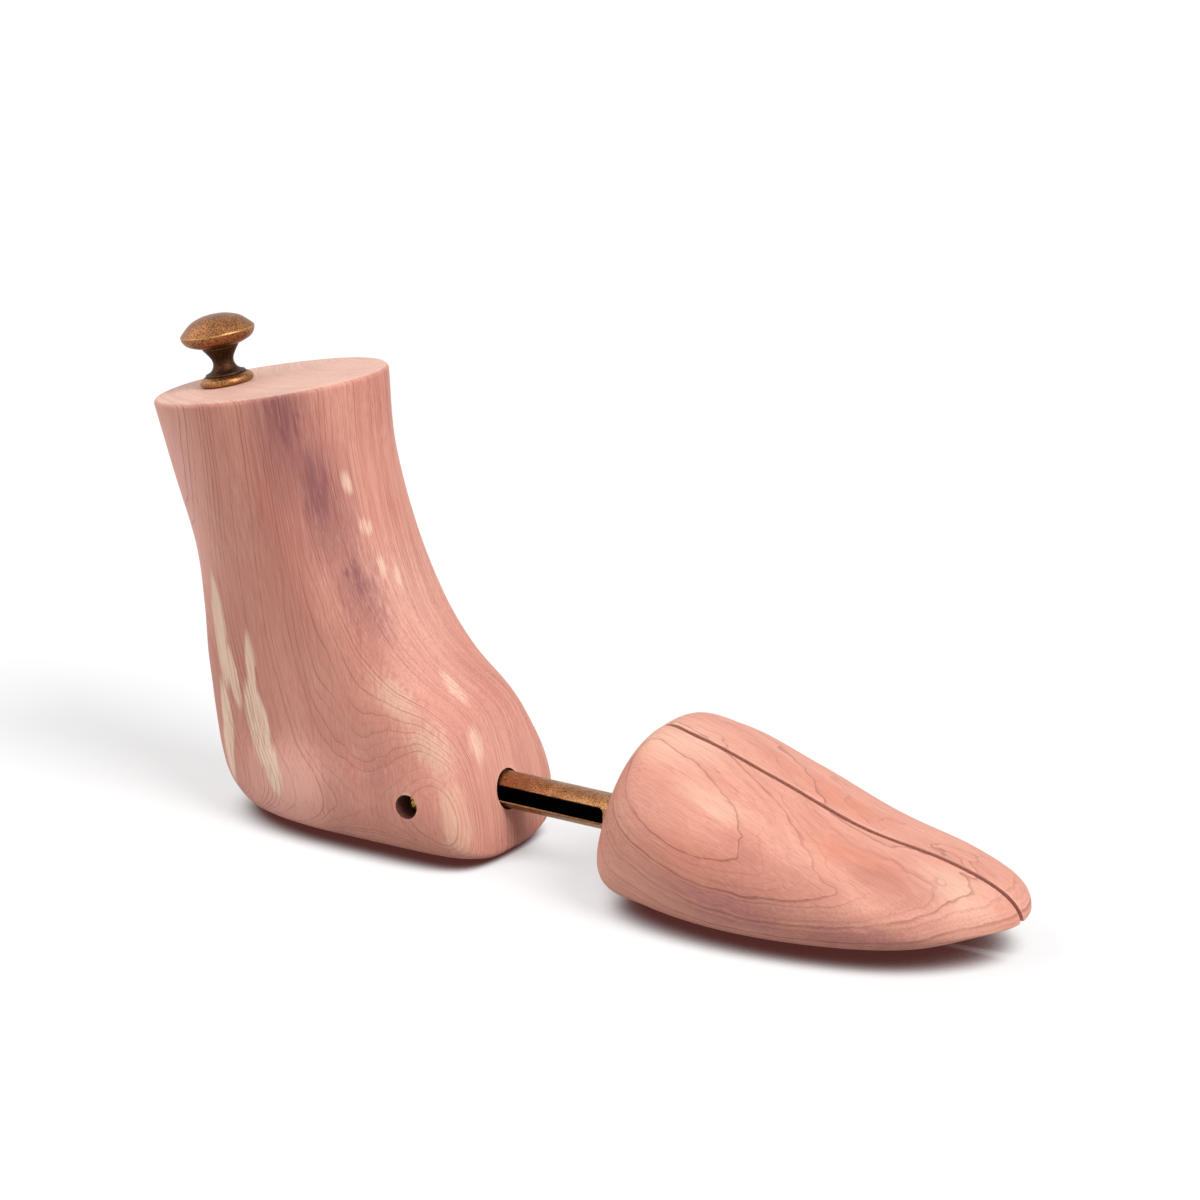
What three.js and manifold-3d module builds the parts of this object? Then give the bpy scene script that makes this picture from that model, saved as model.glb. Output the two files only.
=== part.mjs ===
// Boot tree: a cedar heel block and a split cedar toe, joined by a sprung, slotted brass tube.
// Millimetres. X runs from heel to toe, Y to the inner side of a right foot, Z up.
// The origin is the centre of the heel block's flat base.
import * as THREE from 'three';
import { mergeVertices } from 'three/addons/utils/BufferGeometryUtils.js';
import Module from 'manifold-3d';

// Heel block
const heelLength = 106.4;
const heelWidth = 67.6;
const heelHeight = 149.2;
const topTilt = 0.22;
const topRounding = 2;

// Tube and its bore
const tubeDiameter = 12.7;
const tubeWall = 1;
const tubeHeight = 23;
const tubeInsertion = 46;
const tubeToeDepth = 42;
const tubeLip = 2.2;
const boreDepth = 99;
const boreClearance = 0.7;
const slotWidth = 5.8;
const slotReach = 39.8;
const slotCorner = 1.8;

// Split toe
const toeGap = 45.2;
const toeLength = 147;
const toeWidth = 89.6;
const toeHeight = 57;
const toeYaw = 0.068;
const toePivotReach = 21.6;
const toePivotSide = 0.7;
const kerfWidth = 2.4;
const closingTravel = 2.1;

// Knob and its screw
const knobDiameter = 26.2;
const knobHeight = 24.6;
const knobFlange = 18.8;
const knobNeck = 7.3;
const knobSetback = 118;
const knobScrewDiameter = 4;
const knobScrewInKnob = 13;
const knobScrewInBlock = 22;

// Cross screw of the heel block
const guideScrewInset = 21.6;
const guideScrewDiameter = 3.8;
const guideHeadDiameter = 7;
const guideHeadHeight = 2.4;
const guideHeadSeat = 25.5;
const guideScrewPast = 2;
const recessDiameter = 8.4;

// Screw that holds the tube in the toe
const tubeScrewReach = 29;
const tubeScrewDiameter = 3.2;
const tubeScrewHead = 6;
const tubeScrewHeadHeight = 1.8;
const tubeScrewDepth = 19;

// Pins and springs across the split
const pinDiameter = 5;
const pinDepth = 14;
const rearPinReach = 58.8;
const rearPinHeight = 24;
const frontPinHeight = 17;
const toeSpringDiameter = 7.6;
const toeSpringWire = 0.9;
const toeSpringTurns = 5;
const toeSpringDepth = 11;
const rearSpringReach = 73.8;
const rearSpringHeight = 22;
const frontSpringReach = 90.8;
const frontSpringHeight = 19;
const springPinGap = 9.7;

// Spring behind the tube
const mainSpringDiameter = 11.4;
const mainSpringWire = 1.2;
const mainSpringTurns = 10;

// Gap left between pieces that touch
const fitGap = 0.3;

// Heel block stations from base to top: share of height, back, front and widest place as shares of
// the length, half width as a share of the full width, squareness of the front half.
const heelStations = [
  { level: 0, back: -0.451, front: 0.446, widest: -0.03, half: 0.216, square: 4.2 },
  { level: 0.012, back: -0.5, front: 0.496, widest: -0.034, half: 0.311, square: 4.7 },
  { level: 0.04, back: -0.528, front: 0.5, widest: -0.03, half: 0.438, square: 8 },
  { level: 0.09, back: -0.574, front: 0.491, widest: -0.049, half: 0.496, square: 7.7 },
  { level: 0.15, back: -0.604, front: 0.473, widest: -0.068, half: 0.5, square: 7 },
  { level: 0.23, back: -0.63, front: 0.44, widest: -0.104, half: 0.471, square: 5.1 },
  { level: 0.3, back: -0.644, front: 0.389, widest: -0.141, half: 0.459, square: 3.7 },
  { level: 0.38, back: -0.658, front: 0.265, widest: -0.183, half: 0.448, square: 3.2 },
  { level: 0.49, back: -0.664, front: 0.148, widest: -0.231, half: 0.445, square: 2.9 },
  { level: 0.64, back: -0.686, front: 0.066, widest: -0.29, half: 0.455, square: 2.25 },
  { level: 0.82, back: -0.764, front: 0.009, widest: -0.35, half: 0.48, square: 1.8 },
  { level: 1, back: -0.843, front: -0.018, widest: -0.408, half: 0.49, square: 1.86 },
];
const heelRearSquare = 2.2;

// Toe stations from rear to tip: top, underside and widest place as shares of the height, outer and
// inner half widths as shares of the width, forward lean of each section.
const toeStations = [
  { top: 0.552, under: 0.552, widest: 0.552, outer: 0, inner: 0, lean: 0.42 },
  { top: 1, under: 0.118, widest: 0.461, outer: 0.335, inner: 0.434, lean: 0.2 },
  { top: 0.982, under: 0.039, widest: 0.439, outer: 0.456, inner: 0.54, lean: 0.07 },
  { top: 0.821, under: 0.015, widest: 0.389, outer: 0.503, inner: 0.497, lean: 0.01 },
  { top: 0.622, under: 0.04, widest: 0.341, outer: 0.478, inner: 0.417, lean: -0.05 },
  { top: 0.521, under: 0.099, widest: 0.294, outer: 0.385, inner: 0.335, lean: -0.04 },
  { top: 0.394, under: 0.201, widest: 0.238, outer: 0.193, inner: 0.229, lean: -0.04 },
  { top: 0.228, under: 0.228, widest: 0.228, outer: 0, inner: 0, lean: -0.05 },
];
const toeTopSquare = 2.4;
const toeUnderSquare = 3.15;

// Places that follow from the sizes
const tubeRadius = tubeDiameter / 2;
const heelFrontX = heelLength / 2;
const heelBoreEndX = heelFrontX - boreDepth;
const tubeRearX = heelFrontX - tubeInsertion;
const toeRearX = heelFrontX + toeGap;
const tubeFrontX = toeRearX + tubeToeDepth;
const guideScrewX = heelFrontX - guideScrewInset;
const slotRearX = guideScrewX - guideScrewDiameter / 2 - fitGap;
const slotFrontX = heelFrontX + slotReach;
const tubeScrewX = toeRearX + tubeScrewReach;
const knobX = heelFrontX - knobSetback;
const toePivotX = toeRearX + toePivotReach;
const closingRoom = closingTravel + 2 * fitGap;
const frontPinReach = frontSpringReach + (toeSpringDiameter + pinDiameter) / 2 + springPinGap;
const pins = [
  { name: 'toe_pin_rear', x: rearPinReach - toePivotReach, z: rearPinHeight },
  { name: 'toe_pin_front', x: frontPinReach - toePivotReach, z: frontPinHeight },
];
const springs = [
  { name: 'toe_spring_rear', x: rearSpringReach - toePivotReach, z: rearSpringHeight },
  { name: 'toe_spring_front', x: frontSpringReach - toePivotReach, z: frontSpringHeight },
];

const wasm = await Module();
wasm.setup();

function toSolid(geometry) {
  const bare = geometry.clone();
  bare.deleteAttribute('normal');
  bare.deleteAttribute('uv');
  const merged = mergeVertices(bare, 1e-4);
  const vertProperties = new Float32Array(merged.attributes.position.array);
  const triVerts = new Uint32Array(merged.index.array);
  return new wasm.Manifold(new wasm.Mesh({ numProp: 3, vertProperties, triVerts }));
}

function toGeometry(solid) {
  const mesh = solid.getMesh();
  const geometry = new THREE.BufferGeometry();
  const positions = new Float32Array(mesh.vertProperties);
  geometry.setAttribute('position', new THREE.BufferAttribute(positions, 3));
  geometry.setIndex(new THREE.BufferAttribute(new Uint32Array(mesh.triVerts), 1));
  geometry.computeVertexNormals();
  return geometry;
}

function cut(geometry, tools) {
  return toGeometry(tools.reduce((solid, tool) => solid.subtract(toSolid(tool)), toSolid(geometry)));
}

// A smooth value between listed values, at a place counted in list steps.
function blend(values, place) {
  const last = values.length - 1;
  const i = Math.min(Math.floor(place), last - 1);
  const s = place - i;
  const b = values[i];
  const c = values[i + 1];
  const a = i > 0 ? values[i - 1] : 2 * b - c;
  const d = i + 2 <= last ? values[i + 2] : 2 * c - b;
  const bend = 2 * a - 5 * b + 4 * c - d + s * (3 * (b - c) + d - a);
  return b + 0.5 * s * (c - a + s * bend);
}

function stationAt(stations, place) {
  const names = Object.keys(stations[0]);
  return Object.fromEntries(names.map((name) => [name, blend(stations.map((row) => row[name]), place)]));
}

function superCurve(value, square) {
  return Math.sign(value) * Math.abs(value) ** (2 / square);
}

// A closed skin over rings of points, with a single point at each end.
function skin(rings, first, last) {
  const count = rings[0].length;
  const points = [...rings.flat(), first, last];
  const index = [];
  const firstPoint = rings.length * count;
  const top = firstPoint - count;
  for (let j = 0; j < count; j += 1) {
    const k = (j + 1) % count;
    index.push(firstPoint, k, j);
    for (let low = 0; low < top; low += count) {
      const high = low + count;
      index.push(low + j, low + k, high + k, low + j, high + k, high + j);
    }
    index.push(firstPoint + 1, top + j, top + k);
  }
  const geometry = new THREE.BufferGeometry().setFromPoints(points);
  geometry.setIndex(index);
  geometry.computeVertexNormals();
  return geometry;
}

function lathe(profile, sides) {
  return new THREE.LatheGeometry(profile.map(([r, h]) => new THREE.Vector2(r, h)), sides);
}

// A round rod along Y between two places.
function rod(radius, from, to, sides = 24) {
  return new THREE.CylinderGeometry(radius, radius, to - from, sides).translate(0, (from + to) / 2, 0);
}

function rodAlongTube(radius, from, to) {
  return rod(radius, from, to, 32).rotateZ(-Math.PI / 2).translate(0, 0, tubeHeight);
}

// Height of the slanted top, which heelHeight gives at the knob.
function topHeightAt(x) {
  return heelHeight + Math.tan(topTilt) * (x - knobX);
}

// How far a rounded edge of a given radius draws in at a height above the edge's end.
function roundingInset(radius, height) {
  if (height >= radius) {
    return 0;
  }
  const drop = radius - Math.max(0, height);
  return radius - Math.sqrt(radius ** 2 - drop ** 2);
}

function heelRing(place, columns) {
  const row = stationAt(heelStations, place);
  const rise = row.level * heelHeight;
  const inset = roundingInset(topRounding, heelHeight - rise);
  const ring = [];
  for (let j = 0; j < columns; j += 1) {
    const angle = (j / columns) * 2 * Math.PI;
    const square = Math.cos(angle) >= 0 ? row.square : heelRearSquare;
    const along = superCurve(Math.cos(angle), square);
    const across = superCurve(Math.sin(angle), square);
    const reach = along >= 0 ? row.front - row.widest : row.widest - row.back;
    const x = row.widest * heelLength + (reach * heelLength - inset) * along;
    const y = (row.half * heelWidth - inset) * across;
    ring.push(new THREE.Vector3(x, y, row.level * topHeightAt(x)));
  }
  return ring;
}

// Ring places: even from the base up, then close together round the top edge.
function heelPlaces() {
  const last = heelStations.length - 1;
  const topStep = (heelStations[last].level - heelStations[last - 1].level) * heelHeight;
  const places = [];
  for (let place = 0; place < last; place += 0.5) {
    places.push(place);
  }
  for (const turn of [0, 0.25, 0.5, 0.75, 1]) {
    const below = topRounding * (1 - Math.sin((turn * Math.PI) / 2));
    places.push(last - below / topStep);
  }
  return places;
}

function heelBody() {
  const rings = heelPlaces().map((place) => heelRing(place, 48));
  const topX = heelStations[heelStations.length - 1].widest * heelLength;
  return skin(rings, new THREE.Vector3(), new THREE.Vector3(topX, 0, topHeightAt(topX)));
}

function heelBlock() {
  const outside = heelWidth;
  const bore = rodAlongTube(tubeRadius + boreClearance, heelBoreEndX, heelFrontX + outside);
  const recess = rod(recessDiameter / 2, -outside, -guideHeadSeat);
  const pilot = rod(guideScrewDiameter / 2 + fitGap, -outside, 0);
  recess.translate(guideScrewX, 0, tubeHeight);
  pilot.translate(guideScrewX, 0, tubeHeight);
  const knobHole = rod(knobScrewDiameter / 2 + fitGap, -knobScrewInBlock - fitGap, knobHeight);
  knobHole.rotateX(Math.PI / 2).rotateY(-topTilt).translate(knobX, 0, topHeightAt(knobX));
  return cut(heelBody(), [bore, recess, pilot, knobHole]);
}

// The knob stands on the XY plane with its foot a fit gap above it.
function knobShape() {
  const flange = knobFlange / 2;
  const neck = knobNeck / 2;
  const head = knobDiameter / 2;
  const profile = [
    [0, fitGap],
    [flange - 0.7, fitGap],
    [flange, knobHeight * 0.055],
    [flange - 0.4, knobHeight * 0.105],
    [flange - 1.5, knobHeight * 0.135],
    [flange - 2.3, knobHeight * 0.16],
    [neck + 2.3, knobHeight * 0.18],
    [neck + 1, knobHeight * 0.215],
    [neck + 0.2, knobHeight * 0.27],
    [neck, knobHeight * 0.315],
    [neck + 0.25, knobHeight * 0.37],
    [neck + 1.15, knobHeight * 0.435],
    [neck + 2.7, knobHeight * 0.52],
    [neck + 2.7, knobHeight * 0.54],
    [head * 0.61, knobHeight * 0.56],
    [head * 0.765, knobHeight * 0.59],
    [head * 0.885, knobHeight * 0.626],
    [head * 0.96, knobHeight * 0.675],
    [head, knobHeight * 0.752],
    [head * 0.93, knobHeight * 0.797],
    [head * 0.825, knobHeight * 0.854],
    [head * 0.64, knobHeight * 0.927],
    [head * 0.36, knobHeight * 0.98],
    [0, knobHeight],
  ];
  const hole = rod(knobScrewDiameter / 2 + fitGap, -1, knobScrewInKnob + fitGap);
  return cut(lathe(profile, 36), [hole]).rotateX(Math.PI / 2);
}

function knobScrewShape() {
  const radius = knobScrewDiameter / 2;
  const profile = [
    [0, -knobScrewInBlock],
    [radius, -knobScrewInBlock + 2 * knobScrewDiameter],
    [radius, knobScrewInKnob],
    [0, knobScrewInKnob],
  ];
  return lathe(profile, 16).rotateX(Math.PI / 2);
}

// The slot opens only the outer wall of the tube.
function slotCutter() {
  const half = slotWidth / 2;
  const rearX = slotRearX + slotCorner;
  const frontX = slotFrontX - slotCorner;
  const high = half - slotCorner;
  const outline = new THREE.Shape();
  outline.absarc(frontX, -high, slotCorner, -Math.PI / 2, 0);
  outline.absarc(frontX, high, slotCorner, 0, Math.PI / 2);
  outline.absarc(rearX, high, slotCorner, Math.PI / 2, Math.PI);
  outline.absarc(rearX, -high, slotCorner, Math.PI, Math.PI * 1.5);
  const depth = 2 * tubeRadius;
  const cutter = new THREE.ExtrudeGeometry(outline, { depth, bevelEnabled: false, curveSegments: 5 });
  return cutter.rotateX(Math.PI / 2).translate(0, 0, tubeHeight);
}

function tubeShape() {
  const inner = tubeRadius - tubeWall;
  const lip = inner - tubeLip;
  const length = tubeFrontX - tubeRearX;
  const profile = [
    [lip, 0],
    [tubeRadius - tubeWall / 2, 0],
    [tubeRadius, tubeWall / 2],
    [tubeRadius, length],
    [inner, length],
    [inner, tubeWall],
    [lip, tubeWall],
    [lip, 0],
  ];
  const shell = lathe(profile, 32).rotateZ(-Math.PI / 2).translate(tubeRearX, 0, tubeHeight);
  const screwHole = rod(tubeScrewDiameter / 2 + fitGap, -2 * tubeRadius, 2 * tubeRadius);
  return cut(shell, [slotCutter(), screwHole.translate(tubeScrewX, 0, tubeHeight)]);
}

// A pan head screw along Y, its head towards negative Y with a cross recess in it.
function panScrew(radius, headRadius, headHeight, length) {
  const profile = [
    [0, -headHeight],
    [headRadius * 0.62, -headHeight],
    [headRadius * 0.9, -headHeight * 0.72],
    [headRadius, -headHeight * 0.3],
    [headRadius, 0],
    [radius, 0],
    [radius, length - 3 * radius],
    [0, length],
  ];
  const wing = headRadius * 0.9;
  const thin = headRadius * 0.22;
  const recess = [new THREE.BoxGeometry(wing, headHeight, thin), new THREE.BoxGeometry(thin, headHeight, wing)];
  return cut(lathe(profile, 24), recess.map((box) => box.translate(0, -headHeight, 0)));
}

// One unbroken round wire wound about the X axis from zero to a length.
function coil(diameter, wire, turns, length) {
  const mean = (diameter - wire) / 2;
  const steps = turns * 8;
  const rings = [];
  for (let i = 0; i <= steps; i += 1) {
    const turn = (i / steps) * turns * 2 * Math.PI;
    const along = wire / 2 + (length - wire) * (i / steps);
    const ring = [];
    for (let j = 0; j < 5; j += 1) {
      const angle = (j / 5) * 2 * Math.PI;
      const out = mean + (wire / 2) * Math.cos(angle);
      const x = along - (wire / 2) * Math.sin(angle);
      ring.push(new THREE.Vector3(x, out * Math.cos(turn), out * Math.sin(turn)));
    }
    rings.push(ring);
  }
  const middle = (ring) => ring.reduce((sum, p) => sum.add(p), new THREE.Vector3()).divideScalar(5);
  return skin(rings, middle(rings[0]), middle(rings[steps]));
}

// The toe is built about its own pivot, with the split on Y = 0.
function toeRing(place, columns) {
  const row = stationAt(toeStations, place);
  const share = place / (toeStations.length - 1);
  const middle = (toeLength * (1 - Math.cos(Math.PI * share))) / 2 - toePivotReach;
  const ring = [];
  for (let j = 0; j < columns; j += 1) {
    const angle = (j / columns) * 2 * Math.PI;
    const above = Math.sin(angle) >= 0;
    const square = above ? toeTopSquare : toeUnderSquare;
    const across = superCurve(Math.cos(angle), square);
    const up = superCurve(Math.sin(angle), square);
    const side = across >= 0 ? row.inner : row.outer;
    const tall = above ? row.top - row.widest : row.widest - row.under;
    const rise = tall * up * toeHeight;
    const z = Math.max(0, row.widest * toeHeight + rise);
    ring.push(new THREE.Vector3(middle + row.lean * rise, side * across * toeWidth, z));
  }
  return ring;
}

function toeBody() {
  const last = toeStations.length - 1;
  const rings = [];
  for (let place = 0.25; place < last; place += 0.25) {
    rings.push(toeRing(place, 40));
  }
  const rear = new THREE.Vector3(-toePivotReach, 0, toeStations[0].widest * toeHeight);
  const tip = new THREE.Vector3(toeLength - toePivotReach, 0, toeStations[last].widest * toeHeight);
  return skin(rings, rear, tip);
}

// Everything from a wall of the split across to the other side.
function pastSplit(sign) {
  const size = 4 * toeLength;
  return new THREE.BoxGeometry(size, size, size).translate(0, sign * (size / 2 - kerfWidth / 2), 0);
}

// Blind holes from the split into one half, for the pins and springs.
function crossHoles(sign, pinHole) {
  const hole = (spot, radius, depth) => {
    const deep = sign * (kerfWidth / 2 + depth);
    return rod(radius, Math.min(0, deep), Math.max(0, deep), 20).translate(spot.x, 0, spot.z);
  };
  const pinHoles = pins.map((spot) => hole(spot, pinDiameter / 2 + fitGap, pinHole));
  const springHoles = springs.map((spot) => hole(spot, toeSpringDiameter / 2 + fitGap, toeSpringDepth));
  return [...pinHoles, ...springHoles];
}

// Brings a cutter from the whole tree's frame into the toe's own frame.
function toToe(geometry) {
  return geometry.translate(-toePivotX, -toePivotSide, 0).rotateZ(-toeYaw);
}

function toeHalfOuter() {
  const socket = rodAlongTube(tubeRadius + fitGap, heelFrontX, tubeFrontX + fitGap);
  const pilot = rod(tubeScrewDiameter / 2 + fitGap, -tubeScrewDepth - fitGap, 0);
  pilot.translate(tubeScrewX, 0, tubeHeight);
  return cut(toeBody(), [pastSplit(1), toToe(socket), toToe(pilot), ...crossHoles(-1, pinDepth + fitGap)]);
}

function toeHalfInner() {
  const channel = rodAlongTube(tubeRadius + closingRoom, heelFrontX, tubeFrontX + closingRoom);
  const headEnd = tubeRadius + fitGap + tubeScrewHeadHeight + closingRoom;
  const headRoom = rod(tubeScrewHead / 2 + closingRoom, 0, headEnd).translate(tubeScrewX, 0, tubeHeight);
  const holes = crossHoles(1, pinDepth + closingRoom);
  return cut(toeBody(), [pastSplit(-1), toToe(channel), toToe(headRoom), ...holes]);
}

function toePin() {
  const reach = kerfWidth / 2 + pinDepth;
  const radius = pinDiameter / 2;
  const chamfer = pinDiameter / 10;
  const profile = [
    [0, -reach],
    [radius - chamfer, -reach],
    [radius, chamfer - reach],
    [radius, reach - chamfer],
    [radius - chamfer, reach],
    [0, reach],
  ];
  return lathe(profile, 16);
}

function material(color, roughness, metalness) {
  return new THREE.MeshStandardMaterial({ color, roughness, metalness });
}

const heelCedar = () => material(0xc58675, 0.62, 0);
const toeCedar = () => material(0xdb9b86, 0.6, 0);
const brass = () => material(0x8a6238, 0.38, 0.9);
const steel = () => material(0x9a9a98, 0.35, 0.9);
const zinc = () => material(0xb59a4c, 0.35, 0.9);

function piece(name, geometry, look) {
  const mesh = new THREE.Mesh(geometry, look);
  mesh.name = name;
  return mesh;
}

function knobGroup() {
  const group = new THREE.Group();
  group.add(piece('knob', knobShape(), brass()));
  group.add(piece('knob_screw', knobScrewShape(), steel()));
  group.position.set(knobX, 0, topHeightAt(knobX));
  group.rotation.y = -topTilt;
  return group;
}

function guideScrew() {
  const seat = guideHeadSeat + fitGap;
  const shape = panScrew(guideScrewDiameter / 2, guideHeadDiameter / 2, guideHeadHeight, seat + guideScrewPast);
  const screw = piece('guide_screw', shape, zinc());
  screw.position.set(guideScrewX, -seat, tubeHeight);
  return screw;
}

function mainSpring() {
  const length = tubeRearX - heelBoreEndX - 2 * fitGap;
  const shape = coil(mainSpringDiameter, mainSpringWire, mainSpringTurns, length);
  const spring = piece('main_spring', shape, steel());
  spring.position.set(heelBoreEndX + fitGap, 0, tubeHeight);
  return spring;
}

function tubeScrew() {
  const seat = tubeRadius + fitGap;
  const shape = panScrew(tubeScrewDiameter / 2, tubeScrewHead / 2, tubeScrewHeadHeight, seat + tubeScrewDepth);
  const screw = piece('tube_screw', shape, steel());
  screw.position.set(tubeScrewX, seat, tubeHeight);
  screw.rotation.z = Math.PI;
  return screw;
}

function toeSpring(spot) {
  const length = kerfWidth + 2 * toeSpringDepth - 2 * fitGap;
  const shape = coil(toeSpringDiameter, toeSpringWire, toeSpringTurns, length).translate(-length / 2, 0, 0);
  const spring = piece(spot.name, shape, steel());
  spring.position.set(spot.x, 0, spot.z);
  spring.rotation.z = Math.PI / 2;
  return spring;
}

function toeGroup() {
  const group = new THREE.Group();
  group.add(piece('toe_half_outer', toeHalfOuter(), toeCedar()));
  group.add(piece('toe_half_inner', toeHalfInner(), toeCedar()));
  pins.forEach((spot) => {
    const pin = piece(spot.name, toePin(), steel());
    pin.position.set(spot.x, 0, spot.z);
    group.add(pin);
  });
  springs.forEach((spot) => group.add(toeSpring(spot)));
  group.position.set(toePivotX, toePivotSide, 0);
  group.rotation.z = toeYaw;
  return group;
}

function bootTree() {
  const tree = new THREE.Group();
  tree.add(piece('heel_block', heelBlock(), heelCedar()));
  tree.add(knobGroup());
  tree.add(guideScrew());
  tree.add(mainSpring());
  tree.add(piece('tube', tubeShape(), brass()));
  tree.add(tubeScrew());
  tree.add(toeGroup());
  return tree;
}

export default bootTree();
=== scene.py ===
# Looks of the boot tree: cedar heel block, split cedar toe, antique brass tube and knob.
# Sizes are in millimetres, as in the part's source, and meshes are made in metres in the part's frame:
# X from heel to toe, Y to the inner side of a right foot, Z up, origin at the middle of the heel's base.
import math

import bmesh
import bpy
import numpy as np
from mathutils import Matrix, Vector


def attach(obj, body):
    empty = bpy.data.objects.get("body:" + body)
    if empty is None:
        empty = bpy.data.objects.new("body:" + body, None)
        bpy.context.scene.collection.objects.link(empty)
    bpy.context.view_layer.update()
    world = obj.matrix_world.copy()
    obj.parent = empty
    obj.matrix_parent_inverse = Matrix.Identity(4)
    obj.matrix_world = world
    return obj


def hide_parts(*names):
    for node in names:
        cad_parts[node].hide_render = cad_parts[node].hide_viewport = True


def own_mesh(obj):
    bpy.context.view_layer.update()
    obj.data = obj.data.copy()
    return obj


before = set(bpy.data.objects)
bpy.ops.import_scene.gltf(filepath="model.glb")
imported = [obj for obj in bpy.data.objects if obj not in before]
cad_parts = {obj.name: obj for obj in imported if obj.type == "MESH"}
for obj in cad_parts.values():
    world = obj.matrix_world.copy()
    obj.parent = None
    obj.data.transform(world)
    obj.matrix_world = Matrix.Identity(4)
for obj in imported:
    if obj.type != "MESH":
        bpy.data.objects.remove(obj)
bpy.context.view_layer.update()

MM = 0.001

# Gap left between pieces that touch
FIT_GAP = 0.3

# Heel block
HEEL_LENGTH = 106.4
HEEL_WIDTH = 67.6
HEEL_HEIGHT = 149.2
TOP_TILT = 0.22
TOP_ROUNDING = 2.0
HEEL_REAR_SQUARE = 2.2
HEEL_FRONT_X = HEEL_LENGTH / 2

# Cross-head screw in the heel's side
GUIDE_X = HEEL_FRONT_X - 21.6
GUIDE_RADIUS = 1.9
GUIDE_HEAD_RADIUS = 3.5
GUIDE_HEAD_HEIGHT = 2.4
GUIDE_LENGTH = 27.8
RECESS_RADIUS = 4.2
RECESS_SEAT = 25.5
CROSS_REACH = 0.66 * GUIDE_HEAD_RADIUS
CROSS_ARM_RADIUS = 0.2 * GUIDE_HEAD_RADIUS
CROSS_MIDDLE_RADIUS = 0.3 * GUIDE_HEAD_RADIUS
CROSS_MIDDLE_FLOOR = 0.45 * GUIDE_HEAD_HEIGHT
CROSS_TURN = 0.5

# Knob
KNOB_X = HEEL_FRONT_X - 118.0
KNOB_HEIGHT = 24.6
KNOB_FLANGE_RADIUS = 9.4
KNOB_NECK_RADIUS = 3.65
KNOB_HEAD_RADIUS = 13.1
# Painted shade in the neck under the head, with patina: its span of heights, its fade and its depth
NECK_SHADE_SPAN = (3.0, 13.9)
NECK_SHADE_FADE = 1.2
NECK_SHADE_DEPTH = 0.95
KNOB_SCREW_RADIUS = 2.0
KNOB_SCREW_IN_BLOCK = 22.0
KNOB_SCREW_IN_KNOB = 13.0

# Tube, its bore and its slot
TUBE_RADIUS = 6.35
TUBE_WALL = 1.0
TUBE_LIP = 2.2
TUBE_END_EASE = 0.5
TUBE_HEIGHT = 23.0
TUBE_REAR_X = HEEL_FRONT_X - 46.0
TUBE_FRONT_X = HEEL_FRONT_X + 87.2
BORE_RADIUS = TUBE_RADIUS + 0.7
BORE_END_X = HEEL_FRONT_X - 99.0
SLOT_WIDTH = 5.8
SLOT_REAR_X = GUIDE_X - GUIDE_RADIUS - FIT_GAP
SLOT_FRONT_X = HEEL_FRONT_X + 39.8
SLOT_CORNER = 1.8
SLOT_EDGE = 0.3

# Spring behind the tube
MAIN_SPRING_RADIUS = 5.7
MAIN_SPRING_WIRE = 1.2
MAIN_SPRING_TURNS = 10

# Split toe, built about its pivot and turned by its yaw
TOE_LENGTH = 147.0
TOE_WIDTH = 89.6
TOE_HEIGHT = 57.0
TOE_YAW = 0.068
TOE_PIVOT_REACH = 21.6
TOE_PIVOT = (HEEL_FRONT_X + 45.2 + TOE_PIVOT_REACH, 0.7, 0.0)
TOE_TOP_SQUARE = 2.4
TOE_UNDER_SQUARE = 3.15
KERF_WIDTH = 2.4
KERF_ROUNDING = 0.5
CLOSING_TRAVEL = 2.1
CLOSING_ROOM = CLOSING_TRAVEL + 2 * FIT_GAP

# Screw that holds the tube in the toe
TUBE_SCREW_X = HEEL_FRONT_X + 74.2
TUBE_SCREW_RADIUS = 1.6
TUBE_SCREW_DEPTH = 19.0
TUBE_SCREW_HEAD_ROOM = 3.0 + CLOSING_ROOM
TUBE_SCREW_HEAD_END = TUBE_RADIUS + FIT_GAP + 1.8 + CLOSING_ROOM

# Pins and springs across the split, by their places along and above the toe's own frame
PIN_RADIUS = 2.5
PIN_DEPTH = 14.0
PIN_PLACES = [(37.2, 24.0), (85.2, 17.0)]
TOE_SPRING_RADIUS = 3.8
TOE_SPRING_WIRE = 0.9
TOE_SPRING_TURNS = 5
TOE_SPRING_DEPTH = 11.0
TOE_SPRINGS = {"toe_spring_rear": (52.2, 22.0), "toe_spring_front": (69.2, 19.0)}

# Fineness of the meshes: points round a section, rows along it and sides of round pieces
HEEL_COLUMNS = 190
HEEL_ROW_STEP = 1.3
HEEL_FOOT_HEIGHT = 6.0
HEEL_FOOT_ROWS = 14
HEEL_TOP_ROWS = 8
TOE_COLUMNS = 90
TOE_ROWS = 130
TOE_CORNER_POINTS = 5
TOE_WALL_POINTS = 14
KNOB_SIDES = 96
BORE_SIDES = 64
ROUND_SIDES = 48
SMALL_SIDES = 24
CROSS_SIDES = 8
COIL_SIDES = 12
COIL_STEPS = 40

# Edges with a sharper turn than these stay crisp
CRISP_ANGLE = math.radians(38)
TUBE_CRISP_ANGLE = math.radians(50)

# Radius of a bend that counts as a full edge, for worn edges with a painted highlight
HEEL_EDGE = 1.5
TOE_EDGE = 1.2
KNOB_EDGE = 0.9

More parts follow.
